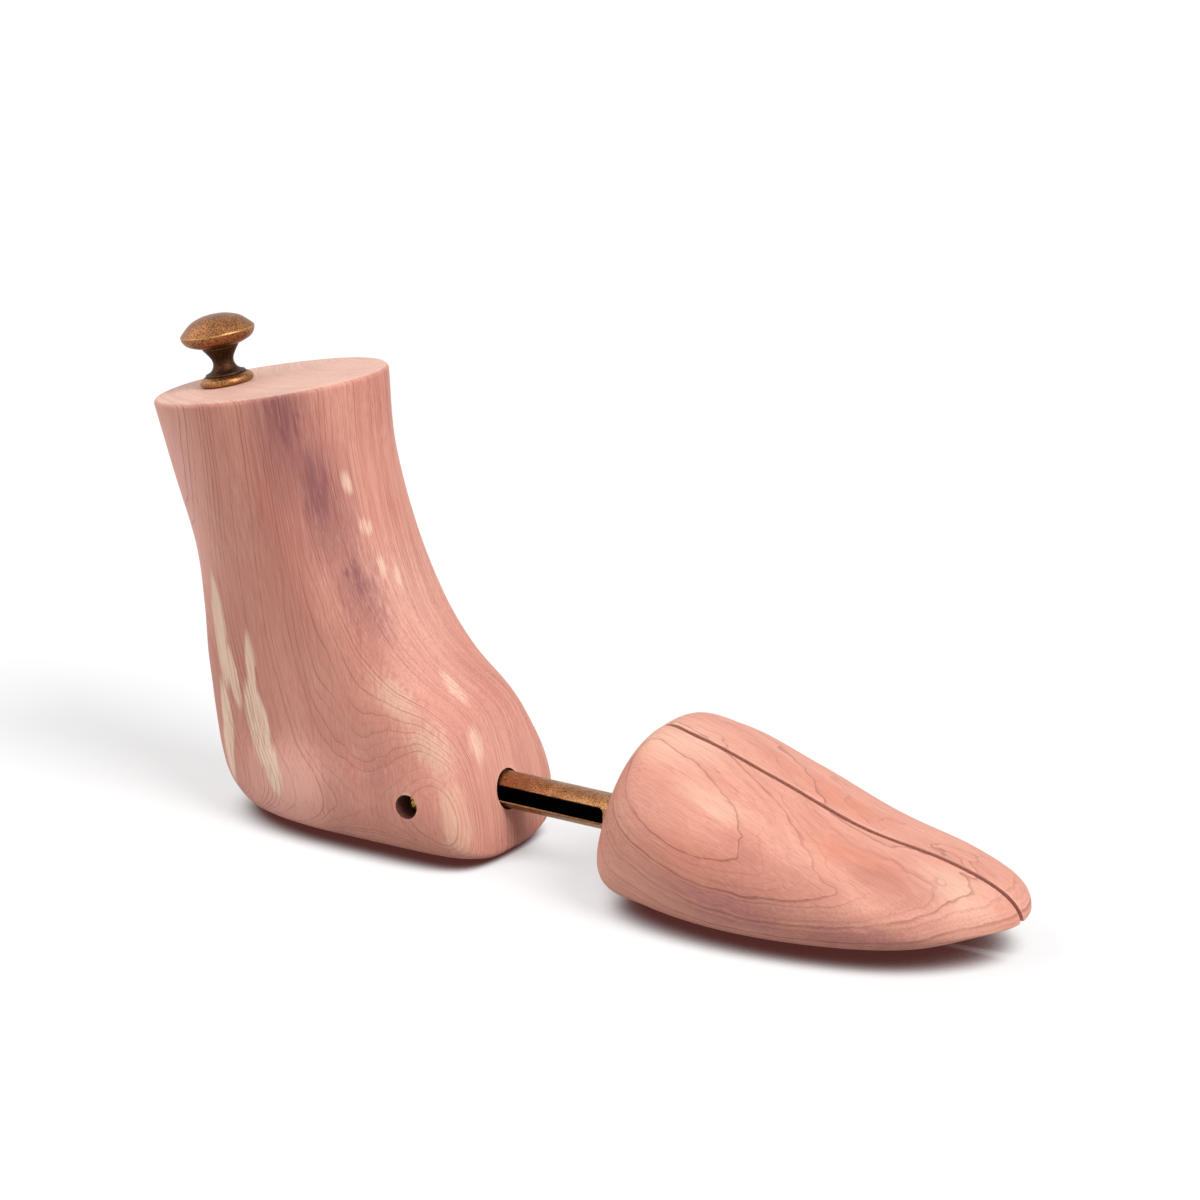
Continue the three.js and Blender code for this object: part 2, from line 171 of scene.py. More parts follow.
# Heel block stations from base to top: share of height, back, front and widest place as shares of the
# length, half width as a share of the full width, squareness of the front half.
HEEL_STATIONS = np.array([
    (0.000, -0.451, 0.446, -0.030, 0.216, 4.2),
    (0.012, -0.500, 0.496, -0.034, 0.311, 4.7),
    (0.040, -0.528, 0.500, -0.030, 0.438, 8.0),
    (0.090, -0.574, 0.491, -0.049, 0.496, 7.7),
    (0.150, -0.604, 0.473, -0.068, 0.500, 7.0),
    (0.230, -0.630, 0.440, -0.104, 0.471, 5.1),
    (0.300, -0.644, 0.389, -0.141, 0.459, 3.7),
    (0.380, -0.658, 0.265, -0.183, 0.448, 3.2),
    (0.490, -0.664, 0.148, -0.231, 0.445, 2.9),
    (0.640, -0.686, 0.066, -0.290, 0.455, 2.25),
    (0.820, -0.764, 0.009, -0.350, 0.480, 1.8),
    (1.000, -0.843, -0.018, -0.408, 0.490, 1.86),
])

# Toe stations from rear to tip: top, underside and widest place as shares of the height, outer and inner
# half widths as shares of the width, forward lean of each section.
TOE_STATIONS = np.array([
    (0.552, 0.552, 0.552, 0.000, 0.000, 0.42),
    (1.000, 0.118, 0.461, 0.335, 0.434, 0.20),
    (0.982, 0.039, 0.439, 0.456, 0.540, 0.07),
    (0.821, 0.015, 0.389, 0.503, 0.497, 0.01),
    (0.622, 0.040, 0.341, 0.478, 0.417, -0.05),
    (0.521, 0.099, 0.294, 0.385, 0.335, -0.04),
    (0.394, 0.201, 0.238, 0.193, 0.229, -0.04),
    (0.228, 0.228, 0.228, 0.000, 0.000, -0.05),
])


# Places on the part

def top_height(x):
    """Height of the heel's slanted top over a place along the block."""
    return HEEL_HEIGHT + math.tan(TOP_TILT) * (x - KNOB_X)


def at_tube(x, y=0.0):
    """A place level with the tube's axis."""
    return (x, y, TUBE_HEIGHT)


# Curves and meshes

def blend(values, place):
    """A smooth value between listed rows, at a place counted in rows."""
    last = len(values) - 1
    i = min(int(place), last - 1)
    s = place - i
    b = values[i]
    c = values[i + 1]
    a = values[i - 1] if i > 0 else 2 * b - c
    d = values[i + 2] if i + 2 <= last else 2 * c - b
    bend = 2 * a - 5 * b + 4 * c - d + s * (3 * (b - c) + d - a)
    return b + 0.5 * s * (c - a + s * bend)


def smooth_path(points, steps):
    """A smooth open path through a few points."""
    rows = np.array(points, float)
    places = np.linspace(0, len(rows) - 1, (len(rows) - 1) * steps + 1)
    return [tuple(blend(rows, place)) for place in places]


def quarter_curve(square, steps=60):
    """One quarter of a rounded square, from (1, 0) to (0, 1), with even points along both sides."""
    low = np.linspace(0, 0.5 ** (1 / square), steps)
    first = np.stack([(1 - low ** square) ** (1 / square), low], 1)
    return np.concatenate([first, first[-2::-1, ::-1]])


def even_points(points, count, closed):
    """The same line with evenly spaced points."""
    line = np.concatenate([points, points[:1]]) if closed else points
    steps = np.linalg.norm(np.diff(line, axis=0), axis=1)
    along = np.concatenate([[0], np.cumsum(steps)])
    places = np.linspace(0, along[-1], count, endpoint=not closed)
    return np.stack([np.interp(places, along, line[:, k]) for k in range(3)], 1)


def rounding_inset(radius, height):
    """How far a rounded edge draws in at a height above the edge's end."""
    drop = radius - np.clip(height, 0, radius)
    return radius - math.sqrt(radius ** 2 - drop ** 2)


def new_object(name, points, faces, materials, face_materials=None):
    mesh = bpy.data.meshes.new(name)
    mesh.from_pydata((np.asarray(points) * MM).tolist(), [], faces)
    for material in materials:
        mesh.materials.append(material)
    if face_materials is not None:
        mesh.polygons.foreach_set("material_index", face_materials)
    shell = bmesh.new()
    shell.from_mesh(mesh)
    bmesh.ops.recalc_face_normals(shell, faces=shell.faces)
    shell.to_mesh(mesh)
    shell.free()
    mesh.shade_smooth()
    obj = bpy.data.objects.new(name, mesh)
    bpy.context.scene.collection.objects.link(obj)
    return obj


def skin(name, rings, materials):
    """A closed surface over rings of points, with a flat end at each side."""
    rows, columns = rings.shape[:2]
    faces = [list(range(columns)), list(range((rows - 1) * columns, rows * columns))]
    for low in range(0, (rows - 1) * columns, columns):
        for j in range(columns):
            k = (j + 1) % columns
            faces.append([low + j, low + k, low + columns + k, low + columns + j])
    return new_object(name, rings.reshape(-1, 3), faces, materials)


def lathe(name, profile, sides, materials, closed=False, band_materials=None):
    """Turns a profile of (radius, height) points about the Z axis. A closed profile makes a tube."""
    points = []
    starts = []
    for radius, height in profile:
        starts.append(len(points))
        turns = [2 * math.pi * j / sides for j in range(sides if radius > 0 else 1)]
        points += [(radius * math.cos(turn), radius * math.sin(turn), height) for turn in turns]
    faces = []
    face_materials = []
    last = len(profile)
    for i in range(last if closed else last - 1):
        n = (i + 1) % last
        for j in range(sides):
            k = (j + 1) % sides
            low = [starts[i] + j, starts[i] + k] if profile[i][0] > 0 else [starts[i]]
            high = [starts[n] + k, starts[n] + j] if profile[n][0] > 0 else [starts[n]]
            faces.append(low + high)
            face_materials.append(band_materials[i] if band_materials else 0)
    return new_object(name, points, faces, materials, face_materials)


def put(obj, place, turn):
    """Turns a new piece and moves it to its place."""
    obj.data.transform(Matrix.Translation(Vector(place) * MM) @ turn)


def rod(radius, start, end, material, sides=ROUND_SIDES):
    """A plain round cutter between two places."""
    start = Vector(start)
    axis = Vector(end) - start
    obj = lathe("cutter", [(0, 0), (radius, 0), (radius, axis.length), (0, axis.length)], sides, [material])
    put(obj, start, axis.to_track_quat("Z", "Y").to_matrix().to_4x4())
    return obj


def coil(name, radius, wire, turns, length, material):
    """One round wire wound about the Z axis."""
    steps = turns * COIL_STEPS
    mean = radius - wire / 2
    turn = np.linspace(0, turns * 2 * math.pi, steps + 1)[:, None]
    side = np.arange(COIL_SIDES)[None, :] * 2 * math.pi / COIL_SIDES
    out = mean + wire / 2 * np.cos(side)
    along = np.linspace(wire / 2, length - wire / 2, steps + 1)[:, None]
    high = along + wire / 2 * np.sin(side) + 0 * turn
    rings = np.stack([out * np.cos(turn), out * np.sin(turn), high], 2)
    return skin(name, rings, [material])


def settle(obj):
    """Gives the object the mesh that its modifiers make."""
    found = obj.evaluated_get(bpy.context.evaluated_depsgraph_get())
    obj.data = bpy.data.meshes.new_from_object(found)
    obj.modifiers.clear()


def cut(obj, cutters):
    """Cuts shapes out of an object. The cut walls take the cutters' materials."""
    for cutter in cutters:
        modifier = obj.modifiers.new("cut", "BOOLEAN")
        modifier.operation = "DIFFERENCE"
        modifier.solver = "EXACT"
        modifier.material_mode = "TRANSFER"
        modifier.object = cutter
    settle(obj)
    for cutter in cutters:
        bpy.data.objects.remove(cutter)
    obj.data.set_sharp_from_angle(angle=CRISP_ANGLE)


def store_value(obj, name, values):
    """Keeps one number on each point for the piece's material."""
    obj.data.attributes.new(name, "FLOAT", "POINT").data.foreach_set("value", values.astype(np.float32))


def point_values(obj, name):
    values = np.empty(len(obj.data.vertices) * 3)
    obj.data.vertices.foreach_get(name, values)
    return values.reshape(-1, 3)


def store_edges(obj, radius):
    """Keeps on each point how sharply the surface bends, from -1 in a groove to 1 on an edge."""
    places = point_values(obj, "co")
    normals = point_values(obj, "normal")
    ends = np.empty(len(obj.data.edges) * 2, int)
    obj.data.edges.foreach_get("vertices", ends)
    first, second = ends.reshape(-1, 2).T
    step = places[second] - places[first]
    turn = normals[second] - normals[first]
    bend = (step * turn).sum(1) / np.maximum((step * step).sum(1), 1e-12)
    total = np.zeros(len(places))
    joins = np.zeros(len(places))
    for end in (first, second):
        np.add.at(total, end, bend)
        np.add.at(joins, end, 1)
    store_value(obj, "edge", np.clip(total / np.maximum(joins, 1) * radius * MM, -1, 1))


def finish_piece(obj, body, slot, *nodes):
    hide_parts(*nodes)
    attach(obj, body)


# Shader nodes

def linear(red, green, blue):
    """A colour as seen on a screen, from 0 to 255, as a shader colour."""
    parts = [value / 255 for value in (red, green, blue)]
    return tuple(v / 12.92 if v <= 0.04045 else ((v + 0.055) / 1.055) ** 2.4 for v in parts) + (1.0,)


def add_node(tree, kind, inputs, **settings):
    node = tree.nodes.new(kind)
    for key, value in settings.items():
        setattr(node, key, value)
    for key, value in inputs.items():
        if isinstance(value, bpy.types.NodeSocket):
            tree.links.new(value, node.inputs[key])
        else:
            node.inputs[key].default_value = value
    return node


def maths(tree, operation, a, b=0.0):
    return add_node(tree, "ShaderNodeMath", {0: a, 1: b}, operation=operation).outputs[0]


def vector_maths(tree, operation, a, b=(0.0, 0.0, 0.0)):
    return add_node(tree, "ShaderNodeVectorMath", {0: a, 1: b}, operation=operation).outputs["Vector"]


def vector_number(tree, operation, a, b=(0.0, 0.0, 0.0)):
    """A number worked out from vectors, such as a length."""
    return add_node(tree, "ShaderNodeVectorMath", {0: a, 1: b}, operation=operation).outputs["Value"]


def scaled(tree, vector, scale):
    node = add_node(tree, "ShaderNodeVectorMath", {0: vector, "Scale": scale}, operation="SCALE")
    return node.outputs["Vector"]


def mixed(tree, share, a, b):
    """The first colour with a share of the second."""
    return add_node(tree, "ShaderNodeMix", {0: share, 6: a, 7: b}, data_type="RGBA").outputs[2]


def ranged(tree, value, low, high, to_low=0.0, to_high=1.0):
    """A smooth step of a value between two limits."""
    inputs = {"Value": value, "From Min": low, "From Max": high, "To Min": to_low, "To Max": to_high}
    return add_node(tree, "ShaderNodeMapRange", inputs, interpolation_type="SMOOTHSTEP").outputs[0]


def noise(tree, vector, scale=1.0, detail=2.0, roughness=0.5):
    inputs = {"Vector": vector, "Scale": scale, "Detail": detail, "Roughness": roughness}
    return add_node(tree, "ShaderNodeTexNoise", inputs)


def line_noise(tree, value, scale):
    """Noise along one number."""
    inputs = {"W": value, "Scale": scale, "Detail": 2.0}
    return add_node(tree, "ShaderNodeTexNoise", inputs, noise_dimensions="1D").outputs[0]


def local_place(tree, vector, centre, turn, size=(1, 1, 1)):
    """A place as seen from a frame with its own centre, turn and unit sizes."""
    inputs = {"Vector": vector, "Location": centre, "Rotation": turn, "Scale": size}
    return add_node(tree, "ShaderNodeMapping", inputs, vector_type="TEXTURE").outputs[0]


def along_grain(tree, vector, turn, across, along):
    """A place in the grain's own frame, counted in streaks across it and along it."""
    return local_place(tree, vector, (0, 0, 0), turn, (across, across, along))


def pushed(tree, vector, turn, across, along, reach):
    """A place pushed about by noise that is drawn out along the grain, by about a quarter of the reach."""
    push = noise(tree, along_grain(tree, vector, turn, across, along)).outputs["Color"]
    push = vector_maths(tree, "SUBTRACT", push, (0.5, 0.5, 0.5))
    return vector_maths(tree, "ADD", vector, scaled(tree, push, reach))


def spot(tree, vector, centre, turn, size):
    """From 1 at the middle of an egg-shaped spot to 0 at its skin."""
    place = local_place(tree, vector, centre, turn, size)
    node = add_node(tree, "ShaderNodeTexGradient", {"Vector": place}, gradient_type="SPHERICAL")
    return node.outputs["Fac"]


def spots(tree, vector, rows, low, high, strength):
    """The union of several spots, each with a soft skin between two depths."""
    total = 0.0
    for centre, turn, size in rows:
        total = maths(tree, "MAXIMUM", total, spot(tree, vector, centre, turn, size))
    return ranged(tree, total, low, high, 0.0, strength)


def new_material(name):
    material = bpy.data.materials.new(name)
    material.use_nodes = True
    tree = material.node_tree
    tree.nodes.clear()
    shader = add_node(tree, "ShaderNodeBsdfPrincipled", {})
    output = add_node(tree, "ShaderNodeOutputMaterial", {})
    tree.links.new(shader.outputs[0], output.inputs["Surface"])
    place = scaled(tree, add_node(tree, "ShaderNodeTexCoord", {}).outputs["Object"], 1 / MM)
    return material, tree, shader, place


def stored(tree, name):
    """A number kept on the points of the piece."""
    return add_node(tree, "ShaderNodeAttribute", {}, attribute_name=name).outputs["Fac"]


def bumped(tree, shader, height, depth):
    """Raises the surface by a height, with a depth in millimetres."""
    node = add_node(tree, "ShaderNodeBump", {"Height": height, "Strength": 1.0, "Distance": depth * MM})
    tree.links.new(node.outputs[0], shader.inputs["Normal"])


# Cedar

def growth_rings(tree, place, pith, turn, spacing, width):
    """Growth rings about the pith: distance from it, and thin dark lines of one width on any cut."""
    flat = vector_maths(tree, "MULTIPLY", local_place(tree, place, pith, turn), (1.0, 1.0, 0.0))
    distance = vector_number(tree, "LENGTH", flat)
    normal = add_node(tree, "ShaderNodeTexCoord", {}).outputs["Normal"]
    facing = local_place(tree, normal, (0, 0, 0), turn)
    cosine = vector_number(tree, "DOT_PRODUCT", facing, vector_maths(tree, "NORMALIZE", flat))
    sine = maths(tree, "SQRT", maths(tree, "SUBTRACT", 1.003, maths(tree, "MULTIPLY", cosine, cosine)))
    drift = maths(tree, "MULTIPLY", line_noise(tree, distance, 0.16), 2.4)
    phase = maths(tree, "ADD", maths(tree, "DIVIDE", distance, spacing), drift)
    share = maths(tree, "FRACT", phase)
    number = maths(tree, "FLOOR", phase)
    strength = add_node(tree, "ShaderNodeTexWhiteNoise", {"W": number}, noise_dimensions="1D")
    strength = ranged(tree, strength.outputs["Value"], 0.1, 1.0, 0.15, 1.0)
    left = maths(tree, "MULTIPLY", maths(tree, "SUBTRACT", 1.0, share), spacing)
    line = ranged(tree, maths(tree, "DIVIDE", left, sine), width * 0.3, width, 1.0, 0.0)
    late = maths(tree, "MULTIPLY", maths(tree, "POWER", share, 3.0), 0.3)
    lines = maths(tree, "MULTIPLY", maths(tree, "MAXIMUM", line, late), strength)
    return distance, lines


def cedar_tone(tree, bent, distance, turn, light, middle, deep):
    """Slow changes of tone: clouds, bands of rings and long streaks."""
    cloud = noise(tree, along_grain(tree, bent, turn, 18.0, 60.0)).outputs[0]
    streak = noise(tree, along_grain(tree, bent, turn, 1.6, 90.0)).outputs[0]
    colour = mixed(tree, ranged(tree, cloud, 0.3, 0.7), light, middle)
    colour = mixed(tree, ranged(tree, line_noise(tree, distance, 0.25), 0.45, 0.75, 0.0, 0.4), colour, deep)
    return mixed(tree, ranged(tree, streak, 0.5, 0.8, 0.0, 0.45), colour, deep)


def cedar_finish(tree, shader, bent, turn, colour, lines, late, depth):
    """Ring lines that come and go, and fibre, on bare sanded wood, paler on worn edges with a painted
    highlight.
    """
    fibre = noise(tree, along_grain(tree, bent, turn, 0.45, 11.0), 1.0, 3.0, 0.6).outputs[0]
    fade = noise(tree, along_grain(tree, bent, turn, 14.0, 40.0)).outputs[0]
    lines = maths(tree, "MULTIPLY", lines, ranged(tree, fade, 0.3, 0.6, 0.4, 1.0))
    colour = mixed(tree, maths(tree, "MULTIPLY", lines, depth), colour, late)
    colour = mixed(tree, ranged(tree, fibre, 0.5, 0.75, 0.0, 0.28), colour, late)
    colour = mixed(tree, ranged(tree, fibre, 0.25, 0.5, 0.18, 0.0), colour, linear(250, 214, 196))
    # Worn edges paler, with a painted highlight
    rubbed_and_sheen = ranged(tree, stored(tree, "edge"), 0.3, 0.9, 0.0, 0.3)
    colour = mixed(tree, rubbed_and_sheen, colour, linear(244, 206, 188))
    tree.links.new(colour, shader.inputs["Base Color"])
    tree.links.new(ranged(tree, fibre, 0.2, 0.8, 0.5, 0.64), shader.inputs["Roughness"])
    shader.inputs["Specular IOR Level"].default_value = 0.3
    sunk = maths(tree, "ADD", maths(tree, "MULTIPLY", fibre, 0.6), maths(tree, "MULTIPLY", lines, 0.4))
    bumped(tree, shader, maths(tree, "SUBTRACT", 0.0, sunk), 0.03)


# Grain of the heel runs up the block and leans back with it. The pith lies beyond its inner side.
HEEL_GRAIN = (0, -0.2, 0)
HEEL_PITH = (14.0, 52.4, 24.0)
HEEL_RING = 0.62

# Purple heartwood down the outer side: centre, turn and half sizes of each spot.
PURPLE_STREAK = [
    ((-22.0, -27.5, 150.0), (0, -0.22, 0), (8, 12, 34)),
    ((-10.5, -23.0, 126.0), (0, -0.35, 0), (11, 13, 31)),
    ((4.0, -20.0, 95.0), (0, -0.45, 0), (5, 9, 14)),
]
# Redder wood behind the streak.
RED_CLOUD = [((-27.0, -27.0, 128.0), (0, -0.22, 0), (20, 16, 56))]
# Fainter purple around the streak.
PURPLE_CLOUD = [
    ((-21.0, -27.0, 146.0), (0, -0.22, 0), (17, 15, 46)),
    ((-8.0, -22.0, 120.0), (0, -0.4, 0), (18, 14, 40)),
    ((5.0, -20.5, 93.0), (0, -0.45, 0), (12, 12, 34)),
]
# Purple haze about the cross-head screw.
SCREW_HAZE = [
    ((21.0, -33.0, 30.0), (0, -0.3, 0), (12, 14, 28)),
    ((4.0, -33.0, 22.0), (0, -0.3, 0), (12, 14, 22)),
]
# Cream sapwood low on the outer side, towards the back.
SAPWOOD = [
    ((-52.0, -25.0, 68.0), (0, -0.14, 0), (4.2, 8, 24)),
    ((-45.5, -26.5, 54.0), (0, -0.3, 0), (3.4, 8, 14)),
    ((-50.0, -24.0, 32.0), (0, -0.1, 0), (4.6, 8, 22)),
    ((-36.0, -29.3, 57.0), (0, -0.1, 0), (2.8, 8, 18)),
    ((-33.0, -30.3, 40.0), (0, -0.3, 0), (6.2, 8, 18)),
    ((-26.5, -32.0, 27.0), (0, -0.42, 0), (4.4, 8, 14)),
]
# Small cream flecks along the instep and on the front face.
FLECKS = [
    ((-3.8, -15.7, 127.2), (0, -0.3, 0), (2.4, 4.0, 6)),
    ((2.0, -13.6, 112.1), (0, -0.35, 0), (1.8, 3.4, 5)),
    ((7.6, -11.9, 98.1), (0, -0.4, 0), (1.8, 3.4, 6)),
    ((10.5, -6.2, 94.2), (0, -0.4, 0), (2.0, 2.4, 6)),
    ((34.0, -7.6, 58.8), (0, -0.85, 0), (4.2, 4.0, 11)),
    ((46.2, -12.2, 42.0), (0, -0.35, 0), (5.0, 5.0, 10)),
]
# Painted light: paler colour at the back and low down.
PAINTED_BACK_LIGHT = [
    ((-64.0, -24.0, 118.0), (0, -0.2, 0), (26, 24, 66)),
    ((-20.0, -34.0, 18.0), (0, -0.3, 0), (40, 18, 28)),
]
# Paler colour over the instep and on the front face.
PALE_CLOUD = [
    ((18.0, -4.0, 84.0), (0, -0.7, 0), (14, 28, 48)),
    ((52.0, 0.0, 36.0), (0, -0.1, 0), (14, 36, 44)),
]
# Paler band that bends down to the front lower corner.
PALE_BAND = [
    ((22.0, -26.0, 58.0), (0, -0.8, 0), (7, 10, 18)),
    ((38.0, -27.0, 42.0), (0, -0.7, 0), (8, 10, 19)),
    ((48.0, -28.5, 20.0), (0, -0.15, 0), (7, 10, 24)),
]


def end_grain(tree, place):
    """1 on the slanted top face, 0 below it."""
    across = vector_number(tree, "DOT_PRODUCT", place, (-math.tan(TOP_TILT), 0, 1))
    top = top_height(0)
    return ranged(tree, across, top - 0.9, top - 0.1)


def heel_cedar():
    material, tree, shader, place = new_material("heel_cedar")
    bent = pushed(tree, place, HEEL_GRAIN, 26.0, 130.0, 3.4)
    bent = pushed(tree, bent, HEEL_GRAIN, 6.0, 26.0, 0.5)
    distance, lines = growth_rings(tree, bent, HEEL_PITH, HEEL_GRAIN, HEEL_RING, 0.55)
    colour = cedar_tone(tree, bent, distance, HEEL_GRAIN, linear(224, 158, 139), linear(214, 145, 127),
                        linear(198, 124, 110))
    streaky = pushed(tree, pushed(tree, place, HEEL_GRAIN, 1.3, 60.0, 13.0), HEEL_GRAIN, 9.0, 30.0, 5.0)
    purple = maths(tree, "MAXIMUM", spots(tree, streaky, PURPLE_STREAK, 0.0, 0.9, 0.9),
                   spots(tree, streaky, PURPLE_CLOUD, 0.0, 0.8, 0.58))
    purple = maths(tree, "MAXIMUM", purple, spots(tree, streaky, SCREW_HAZE, 0.0, 1.0, 0.22))
    # Painted light at the back and low down
    colour = mixed(tree, spots(tree, streaky, PAINTED_BACK_LIGHT, 0.0, 0.9, 0.75), colour, linear(250, 188, 172))
    colour = mixed(tree, spots(tree, streaky, PALE_CLOUD, 0.0, 0.9, 0.46), colour, linear(240, 188, 170))
    colour = mixed(tree, spots(tree, streaky, RED_CLOUD, 0.0, 0.9, 0.6), colour, linear(188, 116, 102))
    colour = mixed(tree, purple, colour, linear(140, 84, 86))
    colour = mixed(tree, spots(tree, streaky, PALE_BAND, 0.0, 0.9, 0.6), colour, linear(236, 194, 166))
    ragged = pushed(tree, pushed(tree, place, HEEL_GRAIN, 0.9, 26.0, 3.0), HEEL_GRAIN, 5.0, 12.0, 2.2)
    cream = maths(tree, "MAXIMUM", spots(tree, ragged, SAPWOOD, 0.0, 0.34, 1.0),
                  spots(tree, ragged, FLECKS, 0.1, 0.7, 0.6))
    vein = noise(tree, along_grain(tree, bent, HEEL_GRAIN, 0.9, 30.0)).outputs[0]
    cream = maths(tree, "MULTIPLY", cream, ranged(tree, vein, 0.5, 0.68, 1.0, 0.45))
    colour = mixed(tree, cream, colour, linear(255, 219, 194))
    # Painted light from above: the slanted top face is paler; its end grain shows fainter ring lines
    top = end_grain(tree, place)
    colour = mixed(tree, maths(tree, "MULTIPLY", top, 0.65), colour, linear(246, 208, 190))
    lines = maths(tree, "MULTIPLY", lines, ranged(tree, top, 0.0, 1.0, 1.0, 0.55))
    cedar_finish(tree, shader, bent, HEEL_GRAIN, colour, lines, linear(140, 74, 66), 0.62)
    return material


# Grain of the toe runs from rear to tip. The pith lies below, towards the inner side.
TOE_GRAIN = (0, math.pi / 2 + 0.246, -0.118)
TOE_PITH = (150.0, 16.5, -31.2)
TOE_RING = 1.4

# Paler: a cream band of wood on the outer side, and painted light on the rear of the top and on the tip.
CREAM_AND_PAINTED_LIGHT = [
    ((148.0, -26.0, 46.5), (0, 0.3, -0.15), (24, 8, 7)),
    ((124.0, -6.0, 56.0), (0, 0.2, 0), (24, 24, 12)),
    ((226.0, -4.0, 22.0), (0, 0.3, 0), (24, 18, 14)),
]
# Warmer wood beside the split and along the outer side.
WARM_BANDS = [
    ((196.0, -15.0, 33.0), (0, 0.3, 0), (30, 13, 12)),
    ((172.0, 14.0, 42.0), (0, 0.35, 0), (40, 12, 12)),
    ((152.0, -40.0, 30.0), (0, 0.2, 0), (40, 16, 13)),
]
# Painted shade along the outer side, towards the tip.
PAINTED_SIDE_SHADE = [
    ((178.0, -36.0, 30.0), (0, 0.2, 0.1), (38, 14, 14)),
    ((214.0, -18.0, 26.0), (0, 0.3, 0.2), (26, 12, 10)),
]
# Purple wood low on the outer side.
PURPLE_SIDE = [
    ((162.0, -42.0, 18.0), (0, 0.1, 0), (44, 12, 10)),
    ((206.0, -31.0, 13.0), (0, 0.05, 0.3), (40, 12, 8)),
]


def toe_cedar():
    material, tree, shader, place = new_material("toe_cedar")
    bent = pushed(tree, place, TOE_GRAIN, 30.0, 55.0, 3.6)
    bent = pushed(tree, bent, TOE_GRAIN, 8.0, 12.0, 1.8)
    distance, lines = growth_rings(tree, bent, TOE_PITH, TOE_GRAIN, TOE_RING, 1.1)
    colour = cedar_tone(tree, bent, distance, TOE_GRAIN, linear(230, 165, 144), linear(222, 153, 133),
                        linear(208, 134, 116))
    soft = pushed(tree, pushed(tree, place, TOE_GRAIN, 7.0, 30.0, 12.0), TOE_GRAIN, 1.5, 30.0, 6.0)
    colour = mixed(tree, spots(tree, soft, WARM_BANDS, 0.0, 0.9, 0.65), colour, linear(216, 134, 110))
    # Painted shade along the outer side
    colour = mixed(tree, spots(tree, soft, PAINTED_SIDE_SHADE, 0.0, 0.7, 0.65), colour, linear(190, 124, 108))
    colour = mixed(tree, spots(tree, soft, PURPLE_SIDE, 0.0, 0.9, 0.55), colour, linear(164, 98, 102))
    # Cream band, and painted light on the top's rear and the tip
    colour = mixed(tree, spots(tree, soft, CREAM_AND_PAINTED_LIGHT, 0.0, 0.9, 0.5), colour, linear(248, 206, 180))
    cedar_finish(tree, shader, bent, TOE_GRAIN, colour, lines, linear(140, 76, 66), 0.62)
    return material


def raw_cedar(name, pale, dark):
    """Raw walls of drilled holes and of the saw cut: rough, darkened by painted shade."""
    material, tree, shader, place = new_material(name)
    grain = noise(tree, place, 1.6, 4.0, 0.65).outputs[0]
    tree.links.new(mixed(tree, ranged(tree, grain, 0.3, 0.75), pale, dark), shader.inputs["Base Color"])
    tree.links.new(ranged(tree, grain, 0.2, 0.8, 0.7, 0.9), shader.inputs["Roughness"])
    bumped(tree, shader, grain, 0.12)
    return material


# Metals

def antique_brass(name, dark, middle, bright):
    """Brass browned with age and speckled, dark with patina in grooves and with painted shade in the knob's
    neck, bright on worn edges with a painted highlight.
    """
    material, tree, shader, place = new_material(name)
    speckle = noise(tree, place, 2.1, 3.0, 0.8).outputs[0]
    cloud = noise(tree, place, 0.22, 3.0, 0.6).outputs[0]
    edge = stored(tree, "edge")
    # The recess value is painted shade in the knob's neck; groove joins it to the patina in the grooves
    recess = stored(tree, "recess")
    groove = maths(tree, "MAXIMUM", ranged(tree, edge, -0.5, -0.03, 1.0, 0.0), recess)
    # Worn edges bright, with a painted highlight, but not in the neck's painted shade
    rubbed_and_sheen = maths(tree, "MULTIPLY", ranged(tree, edge, 0.2, 0.8), maths(tree, "SUBTRACT", 1.0, recess))
    colour = mixed(tree, ranged(tree, speckle, 0.38, 0.6), dark, middle)
    colour = mixed(tree, ranged(tree, cloud, 0.35, 0.65, 0.0, 0.35), colour, dark)
    colour = mixed(tree, maths(tree, "MULTIPLY", rubbed_and_sheen, 0.3), colour, bright)
    colour = mixed(tree, maths(tree, "MULTIPLY", groove, 0.85), colour, linear(30, 22, 18))
    tree.links.new(colour, shader.inputs["Base Color"])
    shader.inputs["Metallic"].default_value = 1.0
    rough = ranged(tree, speckle, 0.3, 0.7, 0.3, 0.5)
    rough = maths(tree, "ADD", rough, maths(tree, "MULTIPLY", groove, 0.15))
    tree.links.new(rough, shader.inputs["Roughness"])
    bumped(tree, shader, speckle, 0.05)
    return material


def plain_metal(name, dark, bright, rough, metallic=1.0):
    """Bare or plated metal with faint scratches and dull patches."""
    material, tree, shader, place = new_material(name)
    cloud = noise(tree, place, 0.7, 3.0, 0.6).outputs[0]
    scratch = noise(tree, vector_maths(tree, "MULTIPLY", place, (0.6, 6.0, 6.0)), 1.0, 3.0, 0.7).outputs[0]
    tree.links.new(mixed(tree, ranged(tree, cloud, 0.35, 0.65), dark, bright), shader.inputs["Base Color"])
    shader.inputs["Metallic"].default_value = metallic
    tree.links.new(ranged(tree, scratch, 0.3, 0.7, rough, rough + 0.2), shader.inputs["Roughness"])
    bumped(tree, shader, scratch, 0.01)
    return material


HEEL_CEDAR = heel_cedar()
TOE_CEDAR = toe_cedar()
# Walls of holes, dark with painted shade
SHADED_BORE_CEDAR = raw_cedar("shaded_bore_cedar", linear(110, 58, 48), linear(60, 30, 26))
